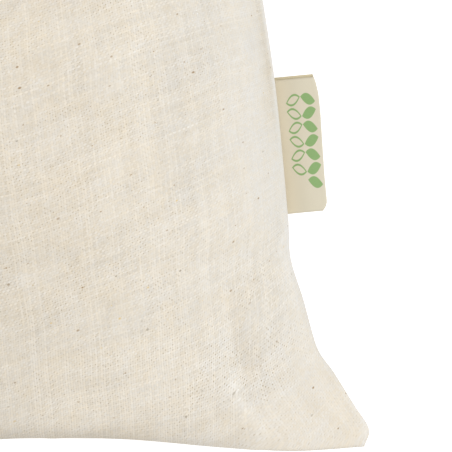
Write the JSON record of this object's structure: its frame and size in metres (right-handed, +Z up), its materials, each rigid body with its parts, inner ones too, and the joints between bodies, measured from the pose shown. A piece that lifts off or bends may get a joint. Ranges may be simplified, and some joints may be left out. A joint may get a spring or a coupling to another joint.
{
  "type": "drawstring pouch",
  "caption": "Full unbleached cotton pouch lying on its back, with flat sewn corners, a mouth gathered on a drawstring in a hem channel, and a folded ribbon label in a side seam.",
  "frame": {"origin": "on the surface that the pouch lies on, under the middle of its box", "axes": "+X across the pouch towards the labelled side, +Y from its bottom edge to its mouth, +Z up through the front panel"},
  "size_m": [0.1488, 0.1887, 0.086],
  "materials": {
    "cotton": "plain weave of unbleached cotton",
    "ribbon": "smooth woven ribbon, beige, with two printed rows of green leaves",
    "string": "twisted unbleached cotton cord"
  },
  "bodies": {
    "root": {"front_panel": "cotton", "back_panel": "cotton", "side_label": "ribbon", "drawstring": "string"}
  },
  "joints": []
}
